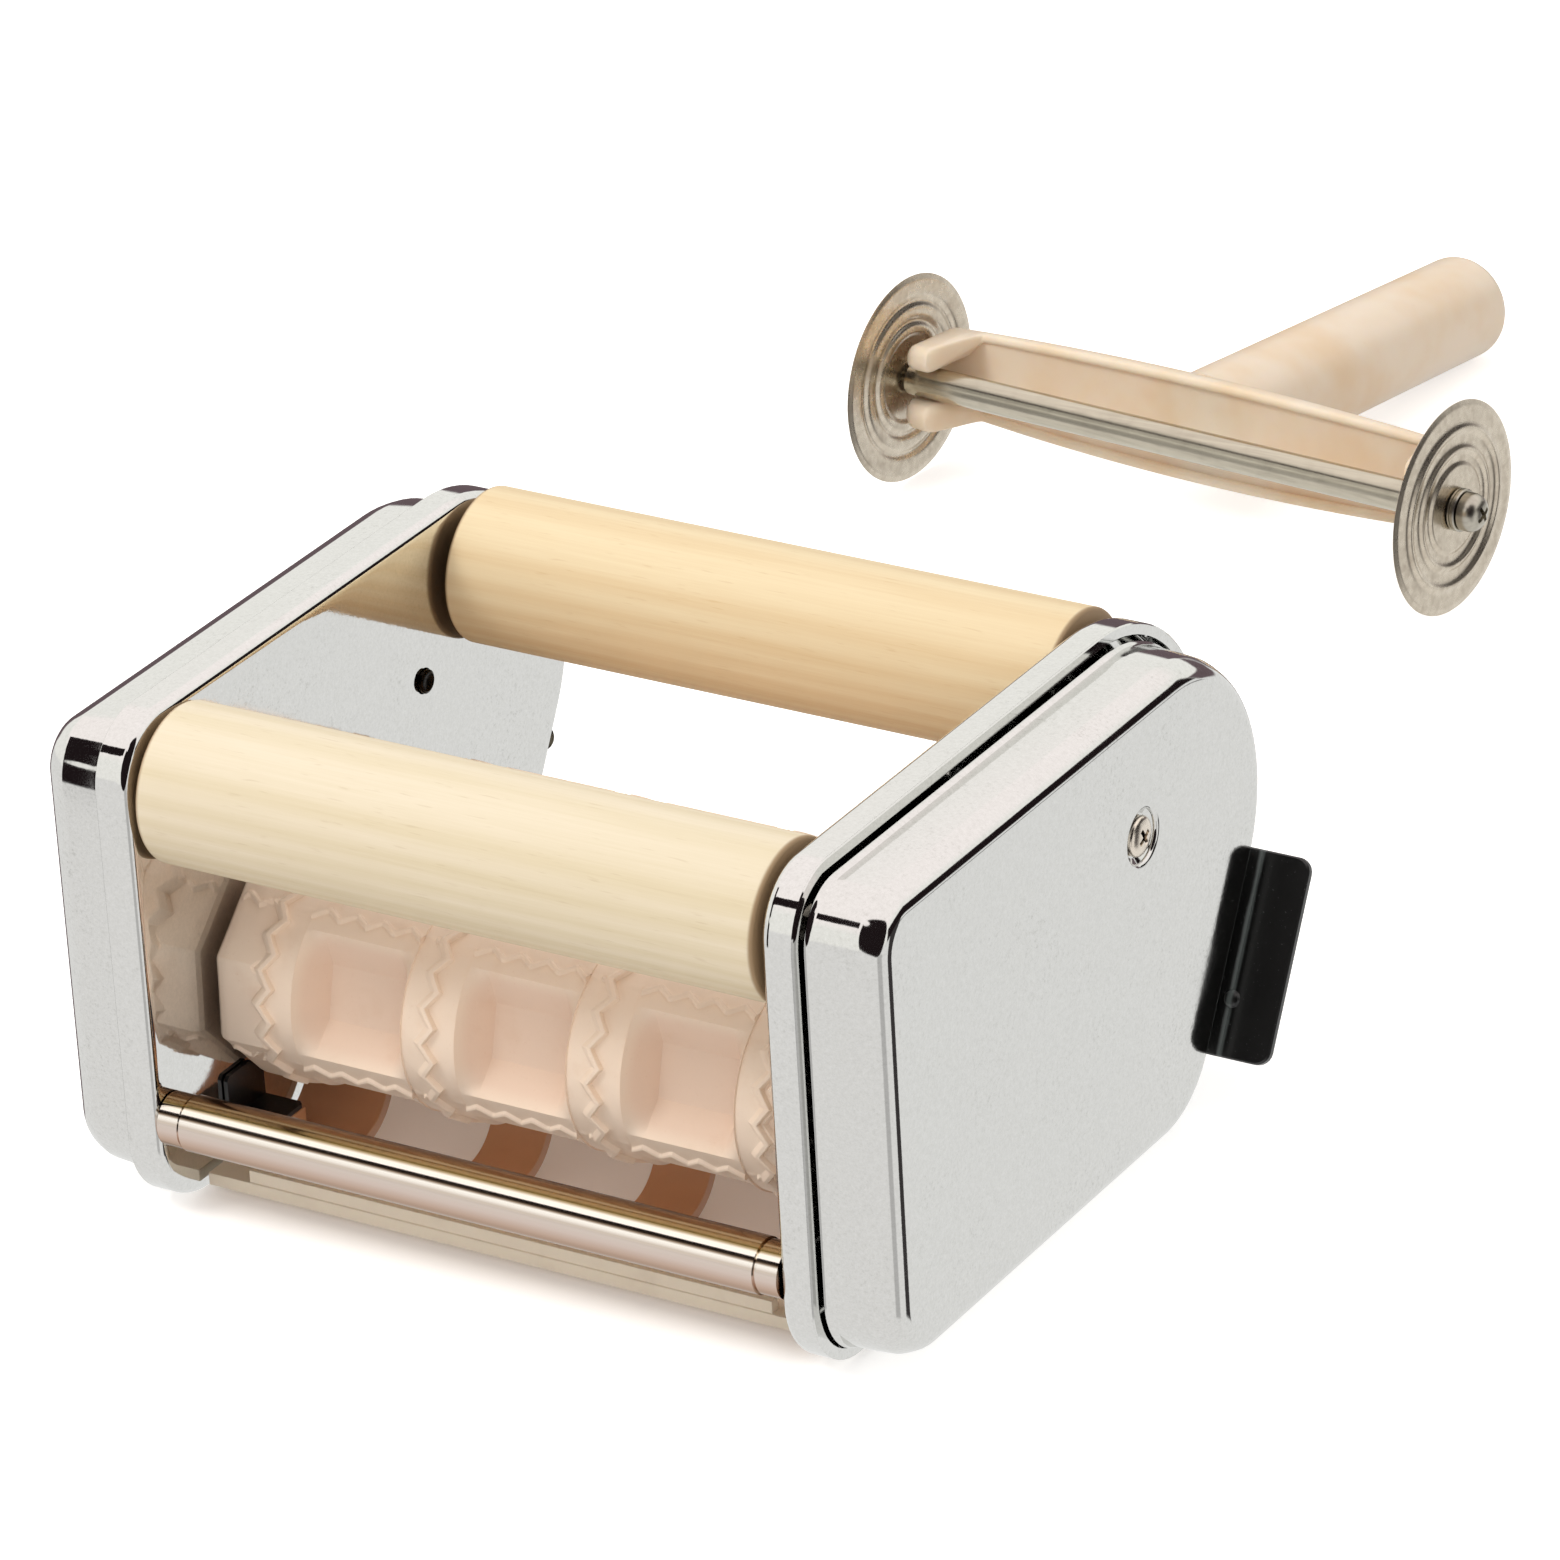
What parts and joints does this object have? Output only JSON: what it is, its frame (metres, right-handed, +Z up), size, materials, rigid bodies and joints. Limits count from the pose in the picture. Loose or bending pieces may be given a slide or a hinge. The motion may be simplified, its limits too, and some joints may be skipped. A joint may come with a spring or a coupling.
{
  "type": "ravioli attachment",
  "caption": "Chromed frame with wooden dough rollers over geared ravioli mould rollers, stripping combs and hook plates, and a loose twin-wheel pastry cutter with a T-handle.",
  "frame": {"origin": "on the table, under the middle of the box round the attachment and the cutter", "axes": "+X along the rollers to the user's right, +Y away from the user, +Z up"},
  "size_m": [0.2458, 0.5276, 0.115],
  "materials": {
    "cheek_chrome": "polished",
    "cover_chrome": "polished",
    "steel": "plain",
    "tube_steel": "bright drawn",
    "gear_steel": "sintered",
    "bush_brass": "plain",
    "black_paint": "semi-gloss black",
    "beech": "bare turned wood",
    "mould_plastic": "matte",
    "cream_plastic": "satin"
  },
  "bodies": {
    "frame": {"left_side_plate": "cheek_chrome", "right_side_plate": "cheek_chrome", "left_cover": "cover_chrome", "right_cover": "cover_chrome", "left_cover_boss": "steel", "right_cover_boss": "steel", "left_cover_screw": "steel", "right_cover_screw": "steel", "left_hook_plate": "black_paint", "right_hook_plate": "black_paint", "left_hook_rivet_lower": "steel", "left_hook_rivet_upper": "steel", "right_hook_rivet_lower": "steel", "right_hook_rivet_upper": "steel", "front_tie_tube": "tube_steel", "rear_tie_tube": "tube_steel", "front_tie_screw_left": "steel", "front_tie_screw_right": "steel", "rear_tie_screw_left": "steel", "rear_tie_screw_right": "steel", "front_comb": "mould_plastic", "rear_comb": "mould_plastic", "front_comb_bracket_left": "black_paint", "front_comb_bracket_right": "black_paint", "rear_comb_bracket_left": "black_paint", "rear_comb_bracket_right": "black_paint", "front_guide_axle": "steel", "rear_guide_axle": "steel", "front_left_bush": "bush_brass", "front_right_bush": "bush_brass", "rear_left_bush": "bush_brass", "rear_right_bush": "bush_brass"},
    "front_guide": {"front_guide_roller": "beech"},
    "rear_guide": {"rear_guide_roller": "beech"},
    "front_mould": {"front_mould_roller": "mould_plastic", "front_mould_shaft": "steel", "front_mould_gear": "gear_steel", "front_gear_clip": "steel", "crank_socket": "steel"},
    "rear_mould": {"rear_mould_roller": "mould_plastic", "rear_mould_shaft": "steel", "rear_mould_gear": "gear_steel", "rear_gear_clip": "steel", "rear_shaft_clip": "steel"},
    "cutter": {"cutter_yoke": "cream_plastic"},
    "cutter_wheels": {"cutter_axle": "steel", "cutter_wheel_left": "steel", "cutter_wheel_right": "steel", "cutter_washer_left": "steel", "cutter_washer_right": "steel", "cutter_screw_left": "steel", "cutter_screw_right": "steel"}
  },
  "joints": [
    {"name": "front_guide_spin", "type": "hinge", "parent": "frame", "child": "front_guide", "pos_m": [0.01092, -0.24579, 0.0975], "axis": [1, 0, 0], "continuous": true},
    {"name": "rear_guide_spin", "type": "hinge", "parent": "frame", "child": "rear_guide", "pos_m": [0.01092, -0.12739, 0.0975], "axis": [1, 0, 0], "continuous": true},
    {"name": "front_mould_spin", "type": "hinge", "parent": "frame", "child": "front_mould", "pos_m": [0.01092, -0.21829, 0.0433], "axis": [1, 0, 0], "continuous": true},
    {"name": "rear_mould_spin", "type": "hinge", "parent": "frame", "child": "rear_mould", "pos_m": [0.01092, -0.16829, 0.0433], "axis": [1, 0, 0], "continuous": true},
    {"name": "cutter_lift", "type": "slide", "parent": "frame", "child": "cutter", "axis": [0, 0, 1], "range_m": [0, 0.15]},
    {"name": "cutter_wheels_spin", "type": "hinge", "parent": "cutter", "child": "cutter_wheels", "pos_m": [-0.03608, 0.12991, 0.0265], "axis": [0.9965, -0.0837, 0], "continuous": true}
  ],
  "couplings": [
    {"joint": "rear_mould_spin", "follows": "front_mould_spin", "ratio": -1}
  ]
}
